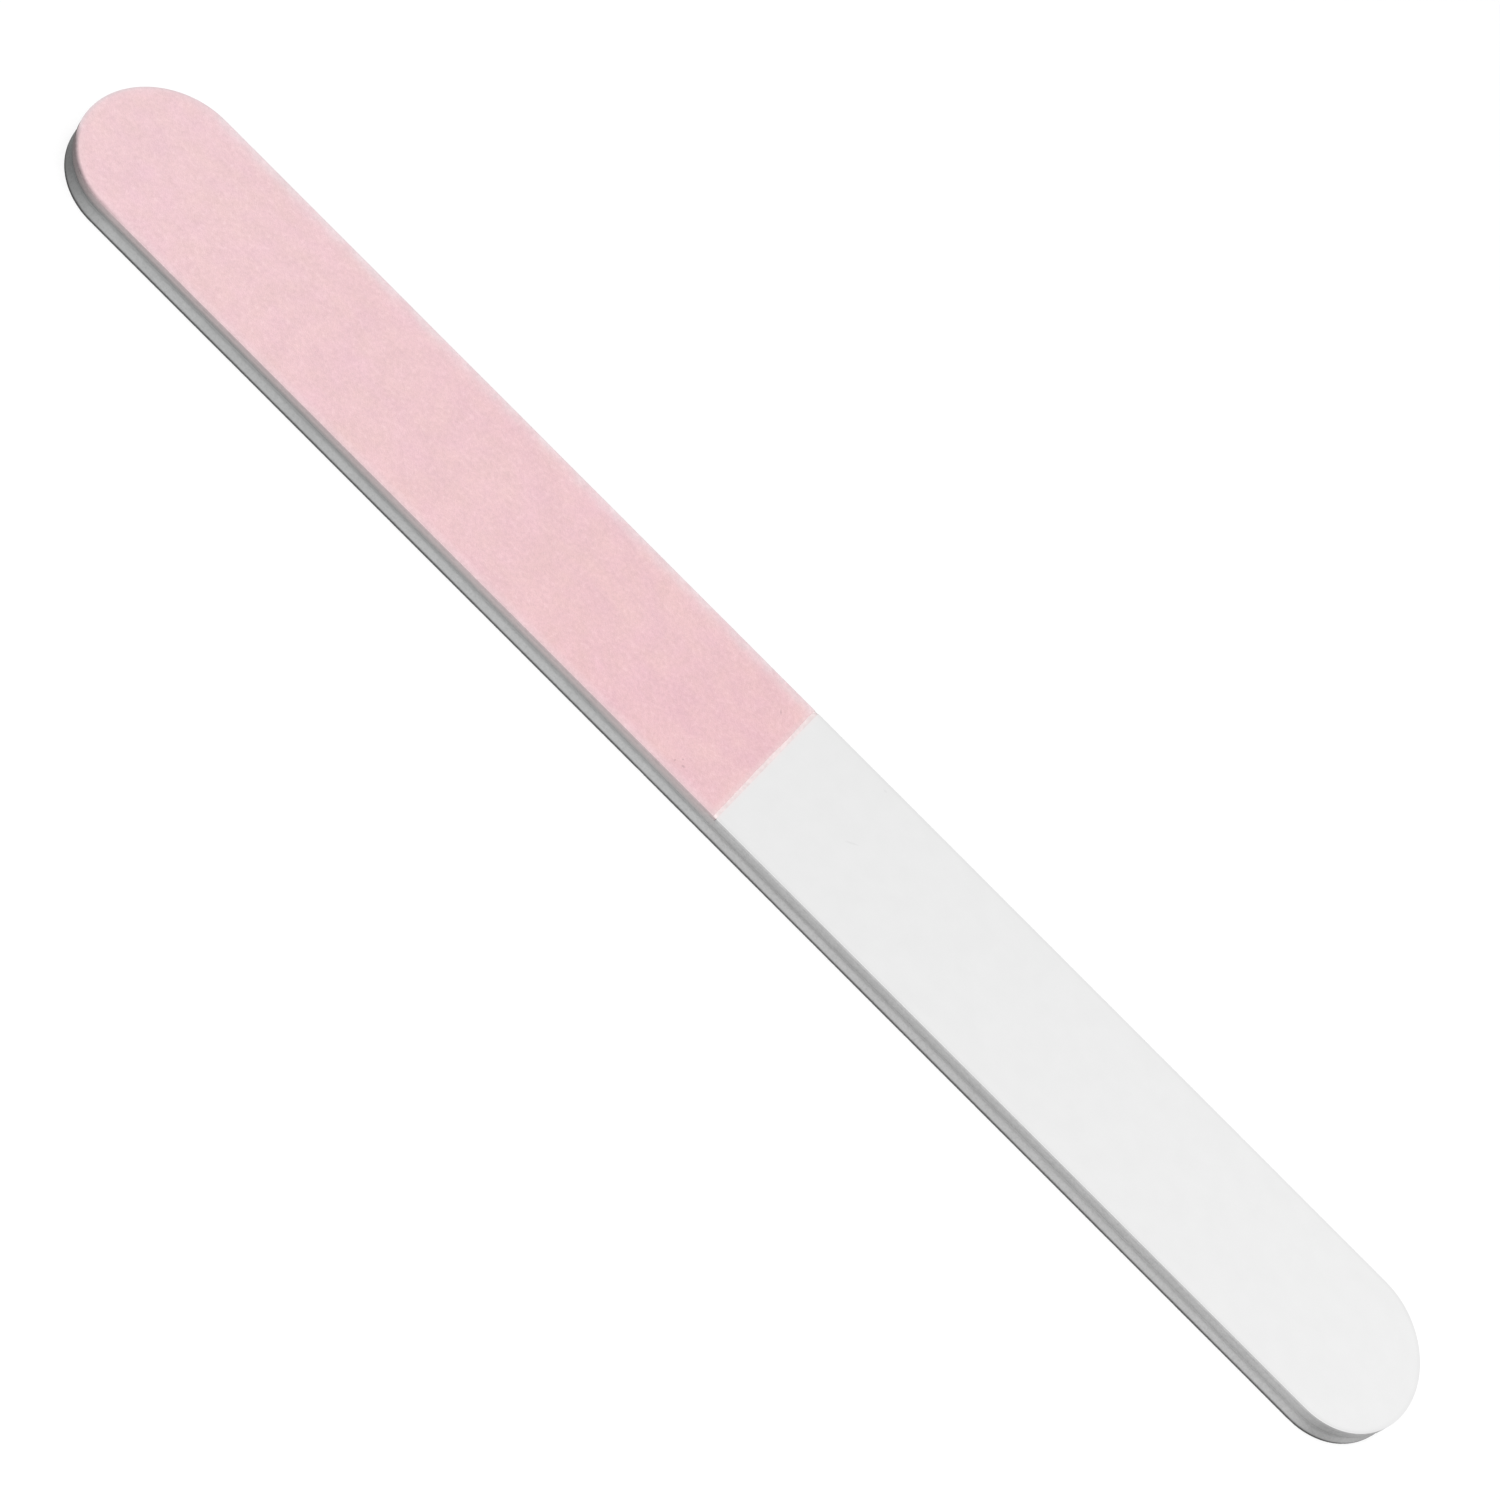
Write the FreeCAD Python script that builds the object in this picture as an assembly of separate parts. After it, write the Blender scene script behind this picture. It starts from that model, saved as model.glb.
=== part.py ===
# Three-way nail buffer file: a slim, cushioned abrasive stick.
#
# Two foam layers are glued to a thin stiffening board. The top carries a pink grit
# sheet and a white polishing sheet, end to end, and the underside carries one grey
# grit sheet. One die cuts through the whole stack, so every layer has its outline.
#
# Frame: millimetres, origin at the centre of the underside, +X along the file
# towards the white end, +Z up, out of the pink and white side.
import FreeCAD, Part
import math
import os

# Outline
LENGTH = 178.0  # tip to tip
WIDTH = 19.05
END_RISE = 8.5  # how far each rounded end reaches beyond the straight sides

# Joint between the two top sheets
SEAM_X = 1.50  # middle of the joint
SEAM_GAP = 0.04  # open width of the joint
COAT_SETBACK = 0.35  # bare backing at the pink sheet's end, where its coat is rubbed away

# Thickness of each layer
LOWER_COAT = 0.10
LOWER_BACKING = 0.14
SHEET_ADHESIVE = 0.06
FOAM = 0.89
CORE_ADHESIVE = 0.05
CORE_BOARD = 0.40
UPPER_BACKING = 0.24
UPPER_COAT = 0.12

# Full-length layers, from the underside up
BODY_LAYERS = [
    ("grey_grit_coat", LOWER_COAT),
    ("grey_sheet_backing", LOWER_BACKING),
    ("grey_sheet_adhesive", SHEET_ADHESIVE),
    ("lower_foam", FOAM),
    ("lower_core_adhesive", CORE_ADHESIVE),
    ("core_board", CORE_BOARD),
    ("upper_core_adhesive", CORE_ADHESIVE),
    ("upper_foam", FOAM),
]

HALF_WIDTH = WIDTH / 2
STRAIGHT_END_X = LENGTH / 2 - END_RISE  # where the straight sides stop


def point(x, y):
    return FreeCAD.Vector(x, y, 0)


def straight_edge(start, stop):
    return Part.LineSegment(start, stop).toShape()


def rounded_end(start, stop):
    """Half an ellipse from start to stop that bulges to the right of that direction."""
    middle = (start + stop) * 0.5
    outwards = 1 if stop.y > start.y else -1
    tip = middle + FreeCAD.Vector(outwards * END_RISE, 0, 0)
    ellipse = Part.Ellipse(start, tip, middle)
    return Part.ArcOfEllipse(ellipse, 0, math.pi).toShape()


def outline(left_cut=None, right_cut=None):
    """The die's outline, or the part of it between square cuts at the given x."""
    left = -STRAIGHT_END_X if left_cut is None else left_cut
    right = STRAIGHT_END_X if right_cut is None else right_cut
    near_left = point(left, -HALF_WIDTH)
    near_right = point(right, -HALF_WIDTH)
    far_right = point(right, HALF_WIDTH)
    far_left = point(left, HALF_WIDTH)
    right_edge = rounded_end if right_cut is None else straight_edge
    left_edge = rounded_end if left_cut is None else straight_edge
    return Part.Wire(
        [
            straight_edge(near_left, near_right),
            right_edge(near_right, far_right),
            straight_edge(far_right, far_left),
            left_edge(far_left, near_left),
        ]
    )


def layer(base_z, thickness, left_cut=None, right_cut=None):
    face = Part.Face(outline(left_cut, right_cut))
    solid = face.extrude(FreeCAD.Vector(0, 0, thickness))
    solid.translate(FreeCAD.Vector(0, 0, base_z))
    return solid


def body_layers():
    """The full-length layers, and the height of the stack's top."""
    solids = {}
    z = 0.0
    for name, thickness in BODY_LAYERS:
        solids[name] = layer(z, thickness)
        z += thickness
    return solids, z


def upper_sheets(base_z):
    """The pink and white sheets: each is an adhesive, a backing and a coat."""
    backing_z = base_z + SHEET_ADHESIVE
    coat_z = backing_z + UPPER_BACKING
    pink_end = SEAM_X - SEAM_GAP / 2
    white_end = SEAM_X + SEAM_GAP / 2
    coat_end = pink_end - COAT_SETBACK
    return {
        "pink_sheet_adhesive": layer(base_z, SHEET_ADHESIVE, right_cut=pink_end),
        "pink_sheet_backing": layer(backing_z, UPPER_BACKING, right_cut=pink_end),
        "pink_grit_coat": layer(coat_z, UPPER_COAT, right_cut=coat_end),
        "white_sheet_adhesive": layer(base_z, SHEET_ADHESIVE, left_cut=white_end),
        "white_sheet_backing": layer(backing_z, UPPER_BACKING, left_cut=white_end),
        "white_polishing_coat": layer(coat_z, UPPER_COAT, left_cut=white_end),
    }


def main():
    solids, top_z = body_layers()
    solids.update(upper_sheets(top_z))
    os.makedirs("parts", exist_ok=True)
    for name, solid in solids.items():
        solid.exportStep("parts/" + name + ".step")


main()
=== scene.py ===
import math

import bmesh
import bpy
import numpy as np
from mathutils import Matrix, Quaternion, Vector, geometry, noise


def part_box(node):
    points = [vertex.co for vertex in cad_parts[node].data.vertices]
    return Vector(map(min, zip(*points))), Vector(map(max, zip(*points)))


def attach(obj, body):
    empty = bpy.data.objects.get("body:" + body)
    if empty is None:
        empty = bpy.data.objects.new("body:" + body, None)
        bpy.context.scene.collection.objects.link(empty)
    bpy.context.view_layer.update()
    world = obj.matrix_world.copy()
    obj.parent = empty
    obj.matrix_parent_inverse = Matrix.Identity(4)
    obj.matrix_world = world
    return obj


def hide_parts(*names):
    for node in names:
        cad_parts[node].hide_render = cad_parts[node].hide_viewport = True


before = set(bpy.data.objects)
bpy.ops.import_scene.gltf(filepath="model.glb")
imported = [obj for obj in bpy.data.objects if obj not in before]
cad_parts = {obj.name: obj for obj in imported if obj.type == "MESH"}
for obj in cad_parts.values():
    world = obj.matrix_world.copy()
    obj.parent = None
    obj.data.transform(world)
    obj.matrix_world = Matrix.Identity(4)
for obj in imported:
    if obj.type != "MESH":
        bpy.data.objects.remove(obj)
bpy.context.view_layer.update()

MM = 0.001
BODY = "root"
X, Y, Z = range(3)

# ---------------------------------------------------------------- the die's outline
# Everything below is in millimetres until mesh_object() turns it into metres.


def node_range(node, axis):
    """The lowest and highest place of a CAD node along one axis."""
    low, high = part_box(node)
    return low[axis] / MM, high[axis] / MM


def straight_side_end(node):
    """The x where a node's straight side stops and its rounded end starts."""
    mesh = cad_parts[node].data
    edge_y = max(vertex.co.y for vertex in mesh.vertices)
    near_edge = 0.001 * MM
    return max(v.co.x for v in mesh.vertices if v.co.y > edge_y - near_edge) / MM


HALF_LENGTH = node_range("core_board", X)[1]
HALF_WIDTH = node_range("core_board", Y)[1]
SIDE_END_X = straight_side_end("core_board")
END_RISE = HALF_LENGTH - SIDE_END_X
TOP_Z = node_range("white_polishing_coat", Z)[1]
FOAM_LOW_Z = node_range("lower_foam", Z)[0]
FOAM_HIGH_Z = node_range("upper_foam", Z)[1]
UPPER_FOAM_LOW_Z = node_range("upper_foam", Z)[0]
PINK_COAT_END_X = node_range("pink_grit_coat", X)[1]
WHITE_START_X = node_range("white_polishing_coat", X)[0]

# Corners of a square-cut end: their radius, their points and the radius that an inset leaves.
CORNER_RADIUS = 0.03
CORNER_POINTS = 5
CORNER_LEFT = 0.01

# The cut edge of the foam and board draws in between the sheets, deepest low down.
WAIST_DEPTH = 0.36
WAIST_DEEPER = 0.07  # how much deeper it is at the left end, and shallower at the right
WAIST_HIGHER = 0.09  # the same for the height of its upper part
WAIST_SWAY = 0.30  # how far that height wanders along the file
WAIST_LOW_Z = FOAM_LOW_Z
WAIST_DEEP_Z = 0.95
WAIST_HIGH_Z = FOAM_HIGH_Z - 0.38
SWAY_LENGTH = 28.0
# The die presses the rim of the upper side down a little.
PRESS_DEPTH = 0.005
PRESS_REACH = 0.45
# The cushioned top's waves: height, length and seed.
TOP_WAVES = ((0.008, 13.0, 3.7), (0.001, 3.5, 8.1))
# A coat's crisp edge, and the narrow strip inside it before the face's relief starts.
COAT_EDGE_RADIUS = 0.05
COAT_EDGE_TURNS = np.radians([0, 30, 60, 90])
COAT_MARGIN = 0.07
# The two upper sheets butt where they are cut square, and the bare strip there is burred up.
BUTT = 0.02
WHITE_BUTT = 0.05
BARE_BURR = 0.115
CUT_BLEND = 0.1  # how far from the die's outline a square cut's own edge starts
# How far each cut edge stands in, or stands proud of the waist, and drifts either way.
SHEET_INSET = 0.012
SHEET_DRIFT = 0.012
NICK_DEPTH = 0.04
NICK_RARITY = 0.35
FOAM_LEAN = 0.02
FOAM_PIT_DEPTH = 0.02
FOAM_DRAG_DEPTH = 0.012
BOARD_PROUD = 0.01
BOARD_DRIFT = 0.01
GLUE_INSET = 0.014
GLUE_DRIFT = 0.012
# Cells of the cut foam: its own, and the larger ones that the knife opened.
FOAM_CELL = 0.16
OPENED_CELL = 0.42

# Meshing: the ring on a hidden side lies further in than the wall draws in anywhere.
HIDDEN_RING_INSET = 0.5
WELD_DISTANCE = 0.002 * MM
SAME_POINT = 1e-6
SHARP_ANGLE = math.radians(35)

# These multiply points: one makes a wave the same at every height, the other drawn out upwards.
LEVEL = [1.0, 1.0, 0.0]
UPRIGHT = [1.0, 1.0, 0.25]


def rounded_end(step):
    """One end from its near side to its far side: points, ways out and deep ways out.

    An inset moves a point against its way out, and against the deep one once a square
    corner's radius is used up. At a rounded end the two are the same.
    """
    length = math.pi * math.hypot(END_RISE, HALF_WIDTH) / math.sqrt(2)
    count = math.ceil(length / step)
    angle = np.linspace(-math.pi / 2, math.pi / 2, count + 1)
    points = np.stack([END_RISE * np.cos(angle), HALF_WIDTH * np.sin(angle)], axis=1)
    out = np.stack([np.cos(angle) / END_RISE, np.sin(angle) / HALF_WIDTH], axis=1)
    out /= np.linalg.norm(out, axis=1, keepdims=True)
    return points, out, out


def square_end(step):
    """The same for a square-cut end, which stands half the file's width from its anchor."""
    reach = HALF_WIDTH - CORNER_RADIUS
    side = np.arange(0, reach, step)
    turn = np.linspace(-math.pi / 2, 0, CORNER_POINTS)
    corner = np.stack([np.cos(turn), np.sin(turn)], axis=1)
    near_side = np.stack([side, np.full_like(side, -HALF_WIDTH)], axis=1)
    near_corner = [reach, -reach] + CORNER_RADIUS * corner
    cut_half = np.arange(-reach + step, -step / 4, step)
    near_cut = np.stack([np.full_like(cut_half, HALF_WIDTH), cut_half], axis=1)
    near = np.concatenate([near_side, near_corner, near_cut])
    sideways = np.tile([0.0, -1.0], (len(side), 1))
    endways = np.tile([1.0, 0.0], (len(near_cut), 1))
    out = np.concatenate([sideways, corner, endways])
    corner_deep = np.tile([1.0, -1.0], (len(corner), 1))
    side_deep = sideways + np.outer(side / reach, [1.0, 0.0])
    cut_deep = endways + np.outer(cut_half / reach, [0.0, 1.0])
    deep = np.concatenate([side_deep, corner_deep, cut_deep])
    middle = [[HALF_WIDTH, 0.0]]
    middle_way = [[1.0, 0.0]]
    mirror = np.array([1.0, -1.0])
    return (
        np.concatenate([near, middle, near[::-1] * mirror]),
        np.concatenate([out, middle_way, out[::-1] * mirror]),
        np.concatenate([deep, middle_way, deep[::-1] * mirror]),
    )


class Loop:
    """A closed loop round a layer: each point has an anchor on the layer's middle line.

    left_cut and right_cut are the x of a square cut, or None where the end is rounded.
    """

    def __init__(self, step, left_cut=None, right_cut=None):
        self.cuts = left_cut, right_cut
        left_x = -SIDE_END_X if left_cut is None else left_cut + HALF_WIDTH
        right_x = SIDE_END_X if right_cut is None else right_cut - HALF_WIDTH
        left_end = rounded_end(step) if left_cut is None else square_end(step)
        right_end = rounded_end(step) if right_cut is None else square_end(step)
        count = math.ceil((right_x - left_x) / step)
        side_x = np.linspace(left_x, right_x, count + 1)[1:-1]
        anchors, rims, outs, deeps = [], [], [], []
        for end, anchor_x, turn in ((right_end, right_x, 1), (left_end, left_x, -1)):
            side = np.stack([side_x[::turn], np.zeros_like(side_x)], axis=1)
            side_out = np.tile([0.0, -float(turn)], (len(side), 1))
            points, out, deep = end
            anchors += [side, np.tile([anchor_x, 0.0], (len(points), 1))]
            rims += [side + side_out * HALF_WIDTH, [anchor_x, 0.0] + turn * points]
            outs += [side_out, turn * out]
            deeps += [side_out, turn * deep]
        self.anchor = np.concatenate(anchors)
        self.rim = np.concatenate(rims)
        self.out = np.concatenate(outs)
        self.deep = np.concatenate(deeps)

    def at(self, inset, z):
        """The loop moved in from the rim, as 3-D points. inset may differ from point to point."""
        inset = np.broadcast_to(inset, len(self.rim))[:, None]
        shallow = np.minimum(inset, CORNER_RADIUS - CORNER_LEFT)
        return self._with_z(self.rim - self.out * shallow - self.deep * (inset - shallow), z)

    def middle(self, z):
        """The loop drawn in all the way to the middle line."""
        return self._with_z(self.anchor, z)

    def face_points(self, step, clear, z):
        """Evenly spaced points over the loop's inside, no nearer to it than clear."""
        row_gap = step * math.sqrt(3) / 2
        rows = int(HALF_WIDTH / row_gap)
        columns = int(HALF_LENGTH / step)
        row, column = np.mgrid[-rows : rows + 1, -columns : columns + 1]
        grid = np.stack([(column + row % 2 / 2) * step, row * row_gap], axis=-1).reshape(-1, 2)
        keep = rim_distance(grid) > clear
        left_cut, right_cut = self.cuts
        if left_cut is not None:
            keep &= grid[:, X] > left_cut + clear
        if right_cut is not None:
            keep &= grid[:, X] < right_cut - clear
        return self._with_z(grid[keep], z)

    @staticmethod
    def _with_z(flat, z):
        return np.column_stack([flat, np.broadcast_to(z, len(flat))])


def rim_distance(points):
    """How far inside the die's outline each point is."""
    beyond = np.clip(np.abs(points[:, X]) - SIDE_END_X, 0, None) / END_RISE
    reach = np.hypot(beyond, points[:, Y] / HALF_WIDTH)
    return HALF_WIDTH * (1 - np.clip(reach, 0, 1))


# ---------------------------------------------------------------- uneven shapes


def wander(points, size, seed):
    """Smooth noise from -1 to 1 over 3-D points, with waves about size long."""
    where = points / size + seed
    return np.array([noise.noise(p) for p in where.tolist()])


def cell_pits(points, size, seed):
    """1 in the middle of a foam cell, falling to 0 at its walls."""
    steepness = 2.0
    where = points / size + seed
    nearest = np.array([noise.voronoi(p)[0][:2] for p in where.tolist()])
    return np.clip((nearest[:, 1] - nearest[:, 0]) * steepness, 0, 1)


def waist(points):
    """How far the cut wall draws in. Its upper part wanders a little up and down."""
    leftwards = -points[:, X] / HALF_LENGTH
    sway = WAIST_SWAY * wander(points * LEVEL, SWAY_LENGTH, seed=74.0)
    above_foot = np.clip((points[:, Z] - WAIST_LOW_Z) / (WAIST_HIGH_Z - WAIST_LOW_Z), 0, 1)
    moved_up = above_foot * (WAIST_HIGHER * leftwards + sway)
    height = points[:, Z] - WAIST_DEEP_Z - moved_up
    phase_above = height / (WAIST_HIGH_Z - WAIST_DEEP_Z)
    phase_below = height / (WAIST_DEEP_Z - WAIST_LOW_Z)
    phase = np.clip(np.where(height > 0, phase_above, phase_below), -1, 1)
    depth = WAIST_DEPTH + WAIST_DEEPER * leftwards
    return depth / 2 * (1 + np.cos(math.pi * phase))


def settle(points):
    """Presses the upper rim down and gives the cushioned top its slight waviness."""
    lift = (points[:, Z] - UPPER_FOAM_LOW_Z) / (TOP_Z - UPPER_FOAM_LOW_Z)
    lift = np.clip(lift, 0, 1)
    pressed = PRESS_DEPTH * np.exp(-((rim_distance(points) / PRESS_REACH) ** 2))
    flat = points * LEVEL
    wave = sum(height * wander(flat, length, seed) for height, length, seed in TOP_WAVES)
    moved = points.copy()
    moved[:, Z] += lift * (wave - pressed)
    return moved


# ---------------------------------------------------------------- meshes


def mesh_object(name, rings, face_points=None):
    """A closed skin through rings of equal length, the first of them on the middle line.

    The last ring either lies on the middle line too or bounds a face that face_points fill.
    """
    count = len(rings[0])
    around = np.arange(count)
    after = (around + 1) % count
    faces = []
    for row in range(len(rings) - 1):
        low, high = row * count, (row + 1) * count
        quads = np.stack([low + around, low + after, high + after, high + around], axis=1)
        faces += quads.tolist()
    if face_points is not None:
        last_ring = (len(rings) - 1) * count
        faces += filled_face(rings[-1], face_points, last_ring)
        rings = rings + [face_points]
    points = settle(np.concatenate(rings))
    mesh = bpy.data.meshes.new(name)
    mesh.from_pydata((points * MM).tolist(), [], faces)
    weld(mesh)
    mesh.shade_smooth()
    mesh.set_sharp_from_angle(angle=SHARP_ANGLE)
    piece = bpy.data.objects.new(name, mesh)
    bpy.context.scene.collection.objects.link(piece)
    return piece


def filled_face(boundary, inner, first_index):
    """Triangles over a loop and the points inside it, which follow it in the mesh."""
    flat = [Vector(point[:2]) for point in np.concatenate([boundary, inner]).tolist()]
    count = len(boundary)
    edges = [(i, (i + 1) % count) for i in range(count)]
    inside_only = 1
    triangles = geometry.delaunay_2d_cdt(flat, edges, [], inside_only, SAME_POINT)[2]
    return [[first_index + corner for corner in triangle] for triangle in triangles]


def weld(mesh):
    """Joins the points that meet on the middle line and turns all faces outwards."""
    skin = bmesh.new()
    skin.from_mesh(mesh)
    bmesh.ops.remove_doubles(skin, verts=skin.verts, dist=WELD_DISTANCE)
    bmesh.ops.recalc_face_normals(skin, faces=skin.faces)
    skin.to_mesh(mesh)
    skin.free()


def wall_rings(loop, low, high, step, inset):
    """Rings up a cut wall. inset(points) says how far each point stands in from the die."""
    count = max(2, math.ceil((high - low) / step))
    rings = []
    for z in np.linspace(low, high, count + 1):
        rings.append(loop.at(inset(loop.at(0.0, z)), z))
    return rings


def plain_layer(name, loop, low, high, wall_step, inset, burr=0.0):
    """A layer with neighbours above and below. burr lifts its upper edge at a square cut."""
    rings = [loop.middle(low), loop.at(HIDDEN_RING_INSET, low)]
    rings += wall_rings(loop, low, high, wall_step, inset)
    rings[-1][:, Z] += burr * cut_share(loop.rim)
    rings += [loop.at(HIDDEN_RING_INSET, high), loop.middle(high)]
    return mesh_object(name, rings)


def faced_layer(name, loop, hidden_z, face_z, face_step, inset, relief):
    """A coat: a flat hidden side at hidden_z and a finished face at face_z."""
    towards_face = math.copysign(1.0, face_z - hidden_z)
    rim = inset(loop.at(0.0, hidden_z))
    rings = [loop.middle(hidden_z), loop.at(HIDDEN_RING_INSET, hidden_z)]
    rings.append(loop.at(rim, hidden_z))
    for angle in COAT_EDGE_TURNS:
        drawn_in = rim + COAT_EDGE_RADIUS * (1 - math.cos(angle))
        z = face_z - towards_face * COAT_EDGE_RADIUS * (1 - math.sin(angle))
        rings.append(loop.at(drawn_in, z))
    face_rim = loop.at(rim + COAT_EDGE_RADIUS + COAT_MARGIN, face_z)
    clear = rim.max() + COAT_EDGE_RADIUS + COAT_MARGIN + face_step / 2
    face = loop.face_points(face_step, clear, face_z)
    for points in (face_rim, face):
        points[:, Z] -= towards_face * relief(points)
    return mesh_object(name, rings + [face_rim], face)


def cut_share(points):
    """0 on the die's outline, rising to 1 a little way along a square cut."""
    return np.clip(rim_distance(points) / CUT_BLEND, 0, 1)


def sheet_edge(seed, butt=BUTT, torn=0.0):
    """Inset of a sheet's edge: nearly true round the die, and butted or torn at a square cut."""

    def inset(points):
        drift = wander(points, size=7.0, seed=seed)
        nick = np.clip(wander(points, size=0.9, seed=seed + 20) - NICK_RARITY, 0, None)
        edge = SHEET_INSET + SHEET_DRIFT * drift + NICK_DEPTH * nick
        coarse_tear = wander(points, size=3.2, seed=seed + 30)
        fine_tear = wander(points, size=0.7, seed=seed + 40)
        tear = 1 + coarse_tear + 0.5 * fine_tear
        cut = torn / 2 * tear if torn else -butt
        along_cut = cut_share(points)
        return edge * (1 - along_cut) + cut * along_cut

    return inset


def foam_edge(seed):
    """Inset of cut foam: the waist, the knife's vertical drag marks and opened cells."""

    def inset(points):
        drag = wander(points * UPRIGHT, size=0.45, seed=seed)
        lean = wander(points, size=9.0, seed=seed + 5)
        pits = cell_pits(points, OPENED_CELL, seed)
        return waist(points) + FOAM_DRAG_DEPTH * drag + FOAM_LEAN * lean + FOAM_PIT_DEPTH * pits

    return inset


def board_edge(points):
    """Inset of the stiff board's edge, which stays a little cleaner than the foam's."""
    drift = wander(points, size=2.0, seed=31.0)
    return waist(points) + BOARD_DRIFT * drift - BOARD_PROUD


def adhesive_edge(seed):
    """Inset of a glue line, which pulls back unevenly from the cut."""

    def inset(points):
        drift = wander(points, size=1.6, seed=seed)
        return waist(points) + GLUE_INSET + GLUE_DRIFT * drift

    return inset


# ---------------------------------------------------------------- materials

# The middle range of a noise, which remap() spreads out: gently, or with crisper edges.
SOFT = (0.3, 0.7)
CRISP = (0.35, 0.65)
# Other ramps are a range and the two shares that its ends turn into, 0 and 1 if left out.
NEAR_SIDE = (-6.0, -2.5, 1.0, 0.0)
NEAR_LINE = (0.0, 0.28, 1.0, 0.0)
RIM_WALL = (0.1, 0.3, 1.0, 0.0)
MARK_EDGE = (0.5, 1.2, 1.0, 0.0)
# A coat's cut wall ends, and a bare backing's face starts, this far below its upper side.
COAT_WALL_DEPTHS = (0.05, 0.02)
BARE_FACE_DEPTHS = (0.06, 0.03)
# A bare face blends in along x, and inwards from the die's outline.
BARE_BLEND = 0.05
BARE_INSIDE = (0.03, 0.06)


class Shader:
    """A new material, and short ways to add nodes to it. Sizes are in millimetres."""

    def __init__(self, name):
        self.material = bpy.data.materials.new(name)
        self.material.use_nodes = True
        self.tree = self.material.node_tree
        self.surface = self.tree.nodes["Principled BSDF"]
        place = self.add("ShaderNodeTexCoord").outputs["Object"]
        self.place = self.scaled(place, (1 / MM,) * 3)

    def add(self, kind, inputs=(), **settings):
        """A new node. inputs are sockets and what goes into them: a value or another socket."""
        node = self.tree.nodes.new(kind)
        for key, value in settings.items():
            setattr(node, key, value)
        for key, value in dict(inputs).items():
            self.put(node.inputs[key], value)
        return node

    def put(self, socket, value):
        if isinstance(value, bpy.types.NodeSocket):
            self.tree.links.new(value, socket)
        else:
            socket.default_value = value

    def scaled(self, vector, factors):
        node = self.add("ShaderNodeVectorMath", {0: vector, 1: factors}, operation="MULTIPLY")
        return node.outputs[0]

    def noise(self, size, detail=2.0, stretch=(1, 1, 1)):
        """Noise from 0 to 1 with features about size long, times stretch."""
        place = self.scaled(self.place, tuple(1 / s for s in stretch))
        inputs = {"Vector": place, "Scale": 1 / size, "Detail": detail}
        return self.add("ShaderNodeTexNoise", inputs).outputs["Fac"]

    def grains(self, size):
        """Cells of that size: a random number for each cell, and the distance to its middle."""
        node = self.add("ShaderNodeTexVoronoi", {"Vector": self.place, "Scale": 1 / size})
        parts = self.add("ShaderNodeSeparateColor", {"Color": node.outputs["Color"]})
        return parts.outputs["Red"], node.outputs["Distance"]

    def cell_edges(self, size):
        """The distance to the nearest edge between those cells."""
        inputs = {"Vector": self.place, "Scale": 1 / size}
        node = self.add("ShaderNodeTexVoronoi", inputs, feature="DISTANCE_TO_EDGE")
        return node.outputs["Distance"]

    def remap(self, value, from_low, from_high, to_low=0.0, to_high=1.0):
        """A ramp of a value, level beyond both ends of its range."""
        inputs = {
            "Value": value,
            "From Min": from_low,
            "From Max": from_high,
            "To Min": to_low,
            "To Max": to_high,
        }
        return self.add("ShaderNodeMapRange", inputs, clamp=True).outputs["Result"]

    def maths(self, operation, *values):
        node = self.add("ShaderNodeMath", dict(enumerate(values)), operation=operation)
        return node.outputs[0]

    def times(self, first, *others):
        for other in others:
            first = self.maths("MULTIPLY", first, other)
        return first

    def mix(self, factor, first, second, blend="MIX"):
        """first where the factor is 0 and second, or the blend with it, where it is 1."""
        node = self.add("ShaderNodeMix", data_type="RGBA", blend_type=blend)
        colour_a, colour_b, colour_out = 6, 7, 2
        self.put(node.inputs["Factor"], factor)
        self.put(node.inputs[colour_a], first)
        self.put(node.inputs[colour_b], second)
        return node.outputs[colour_out]

    def axes(self):
        parts = self.add("ShaderNodeSeparateXYZ", {"Vector": self.place})
        return parts.outputs["X"], parts.outputs["Y"], parts.outputs["Z"]

    def end_share(self):
        """0 along the straight sides, rising to 1 at either tip."""
        x, _, _ = self.axes()
        return self.remap(self.maths("ABSOLUTE", x), SIDE_END_X, HALF_LENGTH)

    def rim_distance(self):
        """How far inside the die's outline the surface is."""
        _, y, _ = self.axes()
        beyond = self.end_share()
        across = self.maths("DIVIDE", y, HALF_WIDTH)
        squares = self.times(beyond, beyond)
        reach = self.maths("SQRT", self.maths("MULTIPLY_ADD", across, across, squares))
        return self.maths("MULTIPLY_ADD", reach, -HALF_WIDTH, HALF_WIDTH)

    def near_rim_shade(self, share):
        """That share of painted shade in a thin line just inside the outline, along its near side
        only.
        """
        _, y, _ = self.axes()
        near = self.remap(y, *NEAR_SIDE)
        return self.times(near, self.remap(self.rim_distance(), *NEAR_LINE), share)

    def cut_wall(self, high):
        """1 on a coat's cut wall, 0 on its face, for a coat whose face is at that height."""
        _, _, z = self.axes()
        wall_top, face_from = (high - depth for depth in COAT_WALL_DEPTHS)
        low_down = self.remap(z, wall_top, face_from, 1.0, 0.0)
        return self.times(low_down, self.remap(self.rim_distance(), *RIM_WALL))

    def mark(self, x, y, half_length, half_width, turn):
        """1 in a small soft oval spot on the face, turned by that many degrees."""
        inputs = {
            "Vector": self.place,
            "Location": (x, y, TOP_Z),
            "Rotation": (0.0, 0.0, math.radians(turn)),
            "Scale": (half_length, half_width, 1.0),
        }
        local = self.add("ShaderNodeMapping", inputs, vector_type="TEXTURE").outputs["Vector"]
        away = self.add("ShaderNodeVectorMath", {0: local}, operation="LENGTH")
        return self.remap(away.outputs["Value"], *MARK_EDGE)

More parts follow.
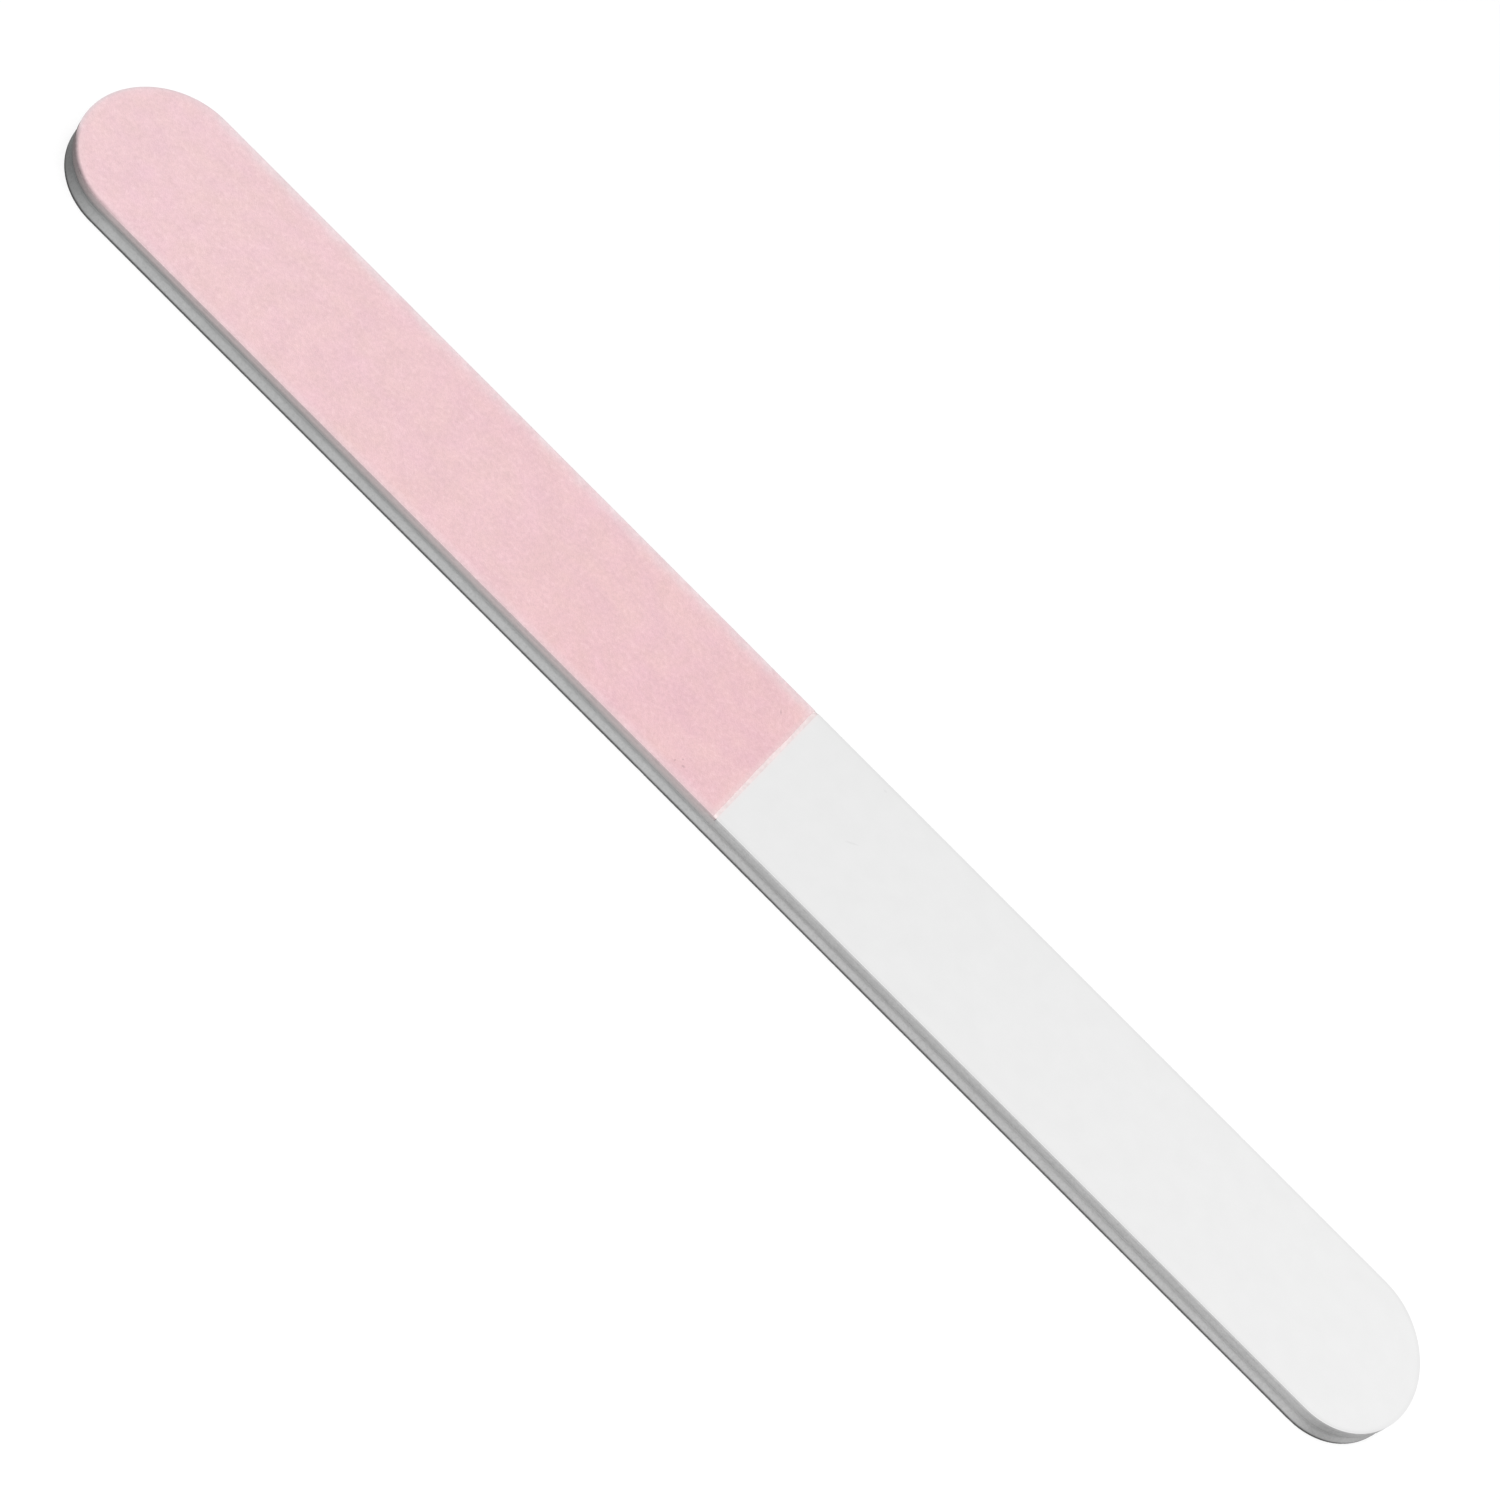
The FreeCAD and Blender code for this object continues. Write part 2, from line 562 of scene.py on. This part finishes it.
    def marks(self, base, places, share, colour):
        """Adds several such spots to a base colour, each at that share."""
        for place in places:
            base = self.mix(self.times(self.mark(*place), share), base, colour)
        return base

    def bump(self, height, depth, below=None):
        """Relief from a height of 0 to 1, on top of the relief below."""
        inputs = {"Height": height, "Distance": depth * MM, "Strength": 1.0}
        node = self.add("ShaderNodeBump", inputs)
        if below is not None:
            self.put(node.inputs["Normal"], below)
        return node.outputs["Normal"]

    def finish(self, colour, roughness, normal, specular=0.35):
        self.put(self.surface.inputs["Base Color"], colour)
        self.put(self.surface.inputs["Roughness"], roughness)
        self.put(self.surface.inputs["Normal"], normal)
        self.surface.inputs["Specular IOR Level"].default_value = specular
        return self.material


def rgb(red, green, blue):
    return (red, green, blue, 1.0)


def grey(level):
    return rgb(level, level, level)


def shade(colour, factor):
    return rgb(*(min(1.0, part * factor) for part in colour[:3]))


# A blend into black is how a tone is darkened: by the blend's share.
BLACK = grey(0.0)
WHITE = grey(1.0)
COOL_TINT = rgb(1.000, 0.988, 1.015)
WARM_TINT = rgb(1.000, 1.012, 0.985)
COOL_WALL = rgb(0.990, 1.000, 1.000)
PINK_END = rgb(0.860, 0.599, 0.625)
PINK_SEAM = rgb(0.834, 0.530, 0.559)
PINK_RIM = rgb(0.840, 0.636, 0.666)
PINK_FAR_RIM = rgb(0.840, 0.720, 0.740)
PINK_TIP_RIM = rgb(0.680, 0.620, 0.640)
PINK_DARK = rgb(0.35, 0.22, 0.24)
PINK_EDGE = rgb(0.40, 0.325, 0.33)
PINK_DUST = rgb(0.38, 0.305, 0.307)
PINK_BARE = rgb(0.86, 0.745, 0.745)
WHITE_COAT = grey(0.778)
WHITE_END = grey(0.824)
WHITE_EDGE = grey(0.41)
FOAM_GREY = grey(0.339)
BOARD_GREY = grey(0.339)
GLUE_GREY = grey(0.30)
GLUE_DARK = grey(0.11)
GRIT_GREY = grey(0.090)
GRIT_GREY_PALE = grey(0.13)
GRIT_GREY_GLEAM = grey(0.30)
GREY_EDGE = grey(0.075)
FLOOR_WHITE = grey(0.97)

# Small marks on the faces: x, y, half length, half width, turn in degrees.
PINK_SPECKS = (
    (-4.2, -7.8, 0.22, 0.15, 30),
    (-4.7, -7.2, 0.13, 0.10, 0),
    (-5.2, -8.0, 0.09, 0.16, 0),
    (-1.2, 6.1, 0.34, 0.10, -55),
)
WHITE_SPECKS = (
    (11.5, 8.5, 0.22, 0.14, 0),
    (12.5, 0.5, 0.80, 0.12, 35),
)
PINK_SPECK_SHARE = 0.4
WHITE_SPECK_SHARE = 0.12


def grit(s, base, grain, contrast, depth, mottle, gaps=0.0, gleam=WHITE):
    """Mineral grains in resin over a base colour.

    contrast tells the grains apart, mottle is the share of the coarser flecks, gaps how dark
    it is between the grains, depth their relief and gleam the colour of the palest.
    """
    bright_flecks = (0.58, 0.75)
    gap_width = 0.22
    grain_top = (0.0, 0.7, 1.0, 0.0)
    patch_share = 0.6 * mottle
    fleck_depth = 0.8 * depth
    each, distance = s.grains(grain)
    fleck = s.noise(0.5, detail=5.0)
    patch = s.noise(2.2, detail=3.0)
    base = s.mix(s.remap(fleck, *CRISP, mottle, 0.0), base, BLACK)
    base = s.mix(s.remap(fleck, *bright_flecks, 0.0, mottle), base, gleam)
    base = s.mix(s.remap(patch, *CRISP, patch_share, 0.0), base, BLACK)
    base = s.mix(s.remap(each, 0.0, 0.5, contrast, 0.0), base, BLACK)
    base = s.mix(s.remap(each, 0.5, 1.0, 0.0, contrast), base, gleam)
    base = s.mix(s.remap(s.cell_edges(grain), 0.0, gap_width, gaps, 0.0), base, BLACK)
    rough = s.remap(each, 0, 1, 0.72, 0.92)
    facet = s.remap(each, 0, 1, 0.5, 1)
    height = s.times(s.remap(distance, *grain_top), facet)
    normal = s.bump(fleck, fleck_depth)
    normal = s.bump(height, depth, normal)
    return s.finish(base, rough, normal, specular=0.3)


# Ramps of the pink face. By the distance from the rim: its pale band, the line round the
# tips and the painted shade where the rim rolls down at the near left end. The rest are
# places along x or y.
PINK_RIM_BAND = (0.0, 1.2, 0.7, 0.0)
PINK_TIP_LINE = (0.15, 0.45, 0.5, 0.0)
PINK_LEFT_RIM_SHADE = (0.0, 0.5, 0.8, 0.0)
PINK_FAR_BAND = (HALF_WIDTH - 2.4, HALF_WIDTH - 0.3)
PINK_LEFT_END = (-SIDE_END_X - 3.5, -SIDE_END_X + 3.5, 1.0, 0.0)
PINK_NEAR_SIDE = (-6.2, -4.2, 1.0, 0.0)
PINK_THIN_END = (PINK_COAT_END_X - 0.7, PINK_COAT_END_X + 0.1, 0.0, 0.4)
# Drift of its tint: size of the patches, and share.
PINK_TINTS = ((10.0, 0.75), (2.4, 0.9))


def pink_grit():
    """Fine pink abrasive: deeper towards the seam, pale and a little worn along the die cut."""
    s = Shader("pink_grit")
    x, y, _ = s.axes()
    clouds = s.noise(14.0, detail=3.0)
    base = s.mix(s.remap(x, -HALF_LENGTH, 0.0), PINK_END, PINK_SEAM)
    base = s.mix(s.remap(clouds, *SOFT, 0.0, 0.3), base, PINK_END)
    for size, share in PINK_TINTS:
        tint = s.mix(s.remap(s.noise(size), *SOFT), COOL_TINT, WARM_TINT)
        base = s.mix(share, base, tint, "MULTIPLY")
    from_rim = s.rim_distance()
    tips = s.end_share()
    sides = s.maths("SUBTRACT", 1.0, tips)
    far = s.remap(y, *PINK_FAR_BAND)
    worn = s.remap(s.noise(1.6, detail=4.0), *CRISP, 0.25, 0.75)
    near_turn = s.times(s.remap(x, *PINK_LEFT_END), s.remap(y, *PINK_NEAR_SIDE))
    base = s.mix(s.remap(from_rim, *PINK_RIM_BAND), base, PINK_RIM)
    base = s.mix(s.times(far, far, sides, worn), base, PINK_FAR_RIM)
    base = s.mix(s.times(s.remap(from_rim, *PINK_TIP_LINE), tips), base, PINK_TIP_RIM)
    # Painted shade where the rim rolls down at the near left end.
    base = s.mix(s.times(near_turn, s.remap(from_rim, *PINK_LEFT_RIM_SHADE)), base, BLACK)
    # Painted shade in a thin line along the near rim.
    base = s.mix(s.near_rim_shade(share=0.17), base, BLACK)
    base = s.mix(s.remap(x, *PINK_THIN_END), base, PINK_BARE)
    base = s.marks(base, PINK_SPECKS, PINK_SPECK_SHARE, PINK_DARK)
    base = s.mix(s.cut_wall(TOP_Z), base, wall_shade_and_tint(s, PINK_EDGE))
    return grit(s, base, grain=0.11, contrast=0.05, depth=0.012, mottle=0.074)


def grey_grit():
    """Coarse dark abrasive of the underside, a little paler along its rim."""
    rim_band = (0.0, 0.8, 0.6, 0.0)
    s = Shader("grey_grit")
    clouds = s.noise(9.0, detail=3.0)
    base = s.mix(s.remap(clouds, *SOFT), GRIT_GREY, shade(GRIT_GREY, 1.25))
    base = s.mix(s.remap(s.rim_distance(), *rim_band), base, GRIT_GREY_PALE)
    looks = {"mottle": 0.08, "gaps": 0.75, "gleam": GRIT_GREY_GLEAM}
    return grit(s, base, grain=0.20, contrast=0.5, depth=0.06, **looks)


def white_polish():
    """A smooth polishing coat with a very fine nap and a few small marks."""
    rim_band = (0.25, 0.55, 0.03, 0.0)
    pink_smear = (WHITE_START_X, WHITE_START_X + 0.5, 0.3, 0.0)
    s = Shader("white_polish")
    nap = s.noise(0.09, detail=3.0)
    patches = s.noise(2.4, detail=5.0)
    x, _, _ = s.axes()
    # Paler towards the right end: partly the coat's own tone and partly painted light.
    base = s.mix(s.remap(x, 0.0, HALF_LENGTH), WHITE_COAT, WHITE_END)
    base = s.mix(s.remap(patches, *SOFT, 0.0, 0.024), base, BLACK)
    base = s.mix(s.remap(nap, *CRISP, 0.0, 0.008), base, BLACK)
    # Painted shade of the slightly pressed rim, all round the face.
    base = s.mix(s.remap(s.rim_distance(), *rim_band), base, BLACK)
    # Painted shade in a thin line along the near rim.
    base = s.mix(s.near_rim_shade(share=0.12), base, BLACK)
    base = s.mix(s.remap(x, *pink_smear), base, PINK_BARE)
    base = s.marks(base, WHITE_SPECKS, WHITE_SPECK_SHARE, WHITE_EDGE)
    base = s.mix(s.cut_wall(TOP_Z), base, wall_shade_and_tint(s, WHITE_EDGE))
    rough = s.remap(patches, *SOFT, 0.5, 0.62)
    return s.finish(base, rough, s.bump(nap, depth=0.008), specular=0.35)


# ---------------------------------------------------------------- materials of the cut wall

# Ramps of the wall's painted shade: the turns into both ends, the left part of the side, and
# the overhang under the upper sheets. The painted shade at the turns fades from the near side
# to the far one.
LEFT_TURN_SHADE = (-SIDE_END_X - 0.65 * END_RISE, -SIDE_END_X + 2.0, 0.58, 0.0)
RIGHT_TURN_SHADE_START = (SIDE_END_X - 0.5, SIDE_END_X + 0.3 * END_RISE, 0.0, 0.27)
RIGHT_TURN_SHADE_STOP = (SIDE_END_X + 0.45 * END_RISE, SIDE_END_X + 0.75 * END_RISE, 1.0, 0.0)
TURN_FADE_Y = (-5.5, 1.0, 1.0, 0.25)
LEFT_SIDE_SHADE = (-50.0, -30.0, 0.07, 0.0)
OVERHANG_SHADE_X = (-75.0, 75.0, 0.19, 0.03)
OVERHANG_SHADE_START_Z = (0.6, 1.6, 0.0, 1.0)
OVERHANG_SHADE_STOP_Z = (2.15, 2.45, 1.0, 0.0)
# The wall is a little cooler, and pink dust clings to the foam, under the pink sheet only.
UNDER_PINK = (0.0, 2.0, 1.0, 0.0)
DUST_Z = (1.6, FOAM_HIGH_Z, 0.0, 0.85)
# Grey dust of the lowest sheet, at the foam's foot.
FOOT_DUST_Z = (FOAM_LOW_Z, FOAM_LOW_Z + 0.15, 0.5, 0.0)


def wall_shade_and_tint(s, base):
    """A cut wall's colour: painted shade at the turns, the left and the overhang, and cooler
    under pink.
    """
    x, y, z = s.axes()
    fade = s.remap(y, *TURN_FADE_Y)
    left_turn = s.times(s.remap(x, *LEFT_TURN_SHADE), fade)
    right_start = s.remap(x, *RIGHT_TURN_SHADE_START)
    right_turn = s.times(right_start, s.remap(x, *RIGHT_TURN_SHADE_STOP), fade)
    left_side = s.remap(x, *LEFT_SIDE_SHADE)
    overhang_z = (s.remap(z, *OVERHANG_SHADE_START_Z), s.remap(z, *OVERHANG_SHADE_STOP_Z))
    overhang = s.times(s.remap(x, *OVERHANG_SHADE_X), *overhang_z)
    # Each of these shares darkens the wall towards black as painted shade.
    for share in (left_turn, right_turn, left_side, overhang):
        base = s.mix(share, base, BLACK)
    return s.mix(s.remap(x, *UNDER_PINK), base, COOL_WALL, "MULTIPLY")


def foam():
    """Knife-cut closed-cell foam: pale cell walls, shadowed cells, vertical drag marks."""
    cell_middle = (0.1, 0.6)
    opened_middle = (0.15, 0.5, 0.2, 0.0)
    s = Shader("light_foam")
    each, distance = s.grains(FOAM_CELL)
    _, opened = s.grains(OPENED_CELL)
    drag = s.noise(0.30, detail=3.0, stretch=(1, 1, 6))
    tone = s.noise(5.0, detail=3.0)
    base = s.mix(s.remap(tone, *SOFT), shade(FOAM_GREY, 0.95), shade(FOAM_GREY, 1.05))
    base = s.mix(s.remap(distance, *cell_middle), shade(FOAM_GREY, 0.90), base)
    base = s.mix(s.remap(drag, *CRISP, 0.0, 0.35), base, shade(FOAM_GREY, 1.12))
    base = s.mix(s.remap(opened, *opened_middle), base, shade(FOAM_GREY, 0.75))
    x, _, z = s.axes()
    dust = s.times(s.remap(z, *DUST_Z), s.remap(x, *UNDER_PINK))
    base = s.mix(s.remap(z, *FOOT_DUST_Z), base, GREY_EDGE)
    base = wall_shade_and_tint(s, s.mix(dust, base, PINK_DUST))
    rough = s.remap(each, 0, 1, 0.75, 0.95)
    normal = s.bump(opened, depth=0.03)
    normal = s.bump(distance, 0.02, normal)
    normal = s.bump(drag, 0.02, normal)
    return s.finish(base, rough, normal, specular=0.25)


def board():
    """The stiff board's sheared edge."""
    shear_marks = (0.4, 0.7, 0.0, 0.4)
    s = Shader("board_plastic")
    shear = s.noise(0.25, detail=3.0, stretch=(1, 1, 8))
    tone = s.noise(3.0, detail=3.0)
    base = s.mix(s.remap(tone, *SOFT), shade(BOARD_GREY, 0.95), shade(BOARD_GREY, 1.04))
    base = s.mix(s.remap(shear, *shear_marks), base, shade(BOARD_GREY, 1.1))
    base = wall_shade_and_tint(s, base)
    rough = s.remap(shear, *SOFT, 0.45, 0.65)
    return s.finish(base, rough, s.bump(shear, depth=0.02), specular=0.35)


def paper(name, edge, face=None, face_z=0.0, face_x=0.0):
    """A latex-paper backing: short matted fibres. Its face shows, bare, beyond face_x."""
    s = Shader(name)
    fibres = s.noise(0.12, detail=4.0, stretch=(5, 5, 1))
    tone = s.noise(2.2, detail=3.0)
    base = s.mix(s.remap(tone, *SOFT), shade(edge, 0.95), shade(edge, 1.05))
    base = wall_shade_and_tint(s, base)
    if face is not None:
        x, _, z = s.axes()
        edge_top, face_from = (face_z - depth for depth in BARE_FACE_DEPTHS)
        above = s.remap(z, edge_top, face_from)
        beyond = s.remap(x, face_x, face_x + BARE_BLEND)
        inside = s.remap(s.rim_distance(), *BARE_INSIDE)
        base = s.mix(s.times(above, beyond, inside), base, face)
    base = s.mix(s.remap(fibres, *CRISP, 0.0, 0.12), base, BLACK)
    rough = s.remap(fibres, *SOFT, 0.75, 0.95)
    return s.finish(base, rough, s.bump(fibres, depth=0.02), specular=0.3)


def glue(name, colour):
    """A thin line of clear adhesive, dusty where it was cut."""
    s = Shader(name)
    dust = s.noise(0.35, detail=4.0)
    base = s.mix(s.remap(dust, *CRISP), shade(colour, 0.85), shade(colour, 1.1))
    base = wall_shade_and_tint(s, base)
    rough = s.remap(dust, *SOFT, 0.4, 0.7)
    return s.finish(base, rough, s.bump(dust, depth=0.02), specular=0.4)


def floor_paint():
    """Flat pale paint with a fine tooth."""
    s = Shader("floor_paint")
    cloud = s.noise(60.0, detail=3.0)
    tooth = s.noise(0.8)
    base = s.mix(s.remap(cloud, *SOFT), shade(FLOOR_WHITE, 0.995), FLOOR_WHITE)
    rough = s.remap(tooth, *SOFT, 0.8, 0.9)
    return s.finish(base, rough, s.bump(tooth, depth=0.01), specular=0.2)


# ---------------------------------------------------------------- the pieces

# Spacing of the points round a piece, up its cut wall, and over a coat's face.
FOAM_STEP = 0.10
FOAM_WALL_STEP = 0.09
BOARD_STEP = 0.20
BOARD_WALL_STEP = 0.10
GLUE_STEP = 0.20
GLUE_WALL_STEP = 0.05
SHEET_STEP = 0.25
SHEET_WALL_STEP = 0.08
FACE_STEP = 0.30

PINK_TEAR = 0.16
PINK_RELIEF = 0.004
WHITE_RELIEF = 0.001
GREY_RELIEF = 0.010
RELIEF_LENGTH = 0.6
BARE_START = 0.3  # the bare paper's colour starts this far before the pink coat's end

# Seeds of what varies along an edge. A coat and its backing share one, as one cut made both.
PINK_SEED = 61.0
WHITE_SEED = 62.0
GREY_SEED = 60.0


def finish_piece(piece, node, material):
    piece.data.materials.append(material)
    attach(piece, BODY)
    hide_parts(node)


def cut_ends(node):
    """The x of a node's square cuts, or None at a rounded end, for Loop()."""
    low, high = node_range(node, X)
    tip_from = HALF_LENGTH - 1.0
    return {
        "left_cut": None if low < -tip_from else low,
        "right_cut": None if high > tip_from else high,
    }


def build_plain(node, slot, material, step, wall_step, inset, soft=False, burr=0.0):
    low, high = node_range(node, Z)
    loop = Loop(step, **cut_ends(node))
    piece = plain_layer(node + "_piece", loop, low, high, wall_step, inset, burr)
    finish_piece(piece, node, material)


def build_coat(node, material, inset, relief, downwards=False):
    low, high = node_range(node, Z)
    hidden_z, face_z = (high, low) if downwards else (low, high)
    loop = Loop(SHEET_STEP, **cut_ends(node))
    piece = faced_layer(node + "_piece", loop, hidden_z, face_z, FACE_STEP, inset, relief)
    finish_piece(piece, node, material)


def grit_relief(depth, seed):
    """Depth below the coat's highest level: always inwards, so the coat stays its size."""

    def relief(points):
        return depth * (0.5 + 0.5 * wander(points, RELIEF_LENGTH, seed))

    return relief


def build_laminate():
    foam_material = foam()
    foam_steps = (FOAM_STEP, FOAM_WALL_STEP)
    for seed, node in ((1.0, "lower_foam"), (2.0, "upper_foam")):
        build_plain(node, "foam", foam_material, *foam_steps, foam_edge(seed), soft=True)
    build_plain("core_board", "core", board(), BOARD_STEP, BOARD_WALL_STEP, board_edge)
    pale_glue = glue("pale_glue_line", GLUE_GREY)
    for seed, node, material in (
        (40.0, "lower_core_adhesive", pale_glue),
        (41.0, "upper_core_adhesive", pale_glue),
        (42.0, "grey_sheet_adhesive", glue("dark_glue_line", GLUE_DARK)),
        (43.0, "pink_sheet_adhesive", pale_glue),
        (44.0, "white_sheet_adhesive", pale_glue),
    ):
        edge = adhesive_edge(seed)
        build_plain(node, "adhesive", material, GLUE_STEP, GLUE_WALL_STEP, edge)


def build_backings():
    bare_z = node_range("pink_sheet_backing", Z)[1]
    bare_x = PINK_COAT_END_X - BARE_START
    pink = paper("pink_latex_paper", PINK_EDGE, PINK_BARE, bare_z, bare_x)
    white = paper("white_latex_paper", WHITE_EDGE)
    grey_paper = paper("grey_latex_paper", GREY_EDGE)
    white_edge = sheet_edge(WHITE_SEED, WHITE_BUTT)
    for node, slot, material, edge, burr in (
        ("grey_sheet_backing", "grey_backing", grey_paper, sheet_edge(GREY_SEED), 0.0),
        ("pink_sheet_backing", "pink_backing", pink, sheet_edge(PINK_SEED), BARE_BURR),
        ("white_sheet_backing", "white_backing", white, white_edge, 0.0),
    ):
        build_plain(node, slot, material, SHEET_STEP, SHEET_WALL_STEP, edge, burr=burr)


def build_coats():
    build_coat(
        "pink_grit_coat",
        pink_grit(),
        sheet_edge(PINK_SEED, torn=PINK_TEAR),
        grit_relief(PINK_RELIEF, seed=4.0),
    )
    build_coat(
        "white_polishing_coat",
        white_polish(),
        sheet_edge(WHITE_SEED, WHITE_BUTT),
        grit_relief(WHITE_RELIEF, seed=5.0),
    )
    build_coat(
        "grey_grit_coat",
        grey_grit(),
        sheet_edge(GREY_SEED),
        grit_relief(GREY_RELIEF, seed=6.0),
        downwards=True,
    )


# ---------------------------------------------------------------- floor, light, camera

CAMERA_TARGET = Vector((-0.76, 1.07, 1.5)) * MM
CAMERA_DISTANCE = 348.2 * MM
CAMERA_AZIMUTH = math.radians(-1.0)
CAMERA_ELEVATION = math.radians(47.8)
CAMERA_ROLL = math.radians(45.75)
CAMERA_SENSOR = 36.0
CAMERA_LENS = 86.4

WORLD_STRENGTH = 0.35
FLOOR_REACH = 6.0
FLOOR_Z = -0.02 * MM  # a hair below the object, so that no faces coincide


def direction(azimuth, elevation):
    """Unit vector from the object. Azimuth 0 is towards -Y, a quarter turn towards +X."""
    level = math.cos(elevation)
    return Vector(
        (math.sin(azimuth) * level, -math.cos(azimuth) * level, math.sin(elevation))
    )


def make_floor():
    mesh = bpy.data.meshes.new("floor")
    signs = ((-1, -1), (1, -1), (1, 1), (-1, 1))
    corners = [(x * FLOOR_REACH, y * FLOOR_REACH, FLOOR_Z) for x, y in signs]
    mesh.from_pydata(corners, [], [(0, 1, 2, 3)])
    mesh.materials.append(floor_paint())
    floor = bpy.data.objects.new("floor", mesh)
    bpy.context.scene.collection.objects.link(floor)


def softbox(name, azimuth, elevation, distance, size, power):
    """A square light that faces the object: degrees, metres and watts."""
    light = bpy.data.lights.new(name, "AREA")
    light.shape = "SQUARE"
    light.size = size
    light.energy = power
    lamp = bpy.data.objects.new(name, light)
    away = direction(math.radians(azimuth), math.radians(elevation))
    lamp.location = away * distance
    lamp.rotation_mode = "QUATERNION"
    lamp.rotation_quaternion = away.to_track_quat("Z", "Y")
    bpy.context.scene.collection.objects.link(lamp)


def make_light():
    softbox("key_softbox", azimuth=1, elevation=51, distance=5.0, size=0.9, power=240)
    world = bpy.data.worlds.new("studio")
    world.use_nodes = True
    background = world.node_tree.nodes["Background"]
    background.inputs["Color"].default_value = WHITE
    background.inputs["Strength"].default_value = WORLD_STRENGTH
    bpy.context.scene.world = world


def make_camera():
    data = bpy.data.cameras.new("camera")
    data.sensor_width = CAMERA_SENSOR
    data.lens = CAMERA_LENS
    camera = bpy.data.objects.new("camera", data)
    back = direction(CAMERA_AZIMUTH, CAMERA_ELEVATION)
    camera.location = CAMERA_TARGET + back * CAMERA_DISTANCE
    camera.rotation_mode = "QUATERNION"
    level_view = (-back).to_track_quat("-Z", "Y")
    camera.rotation_quaternion = level_view @ Quaternion((0, 0, 1), CAMERA_ROLL)
    bpy.context.scene.collection.objects.link(camera)
    bpy.context.scene.camera = camera


make_camera()
make_floor()
make_light()
build_laminate()
build_backings()
build_coats()
bpy.context.scene.view_settings.view_transform = "Standard"
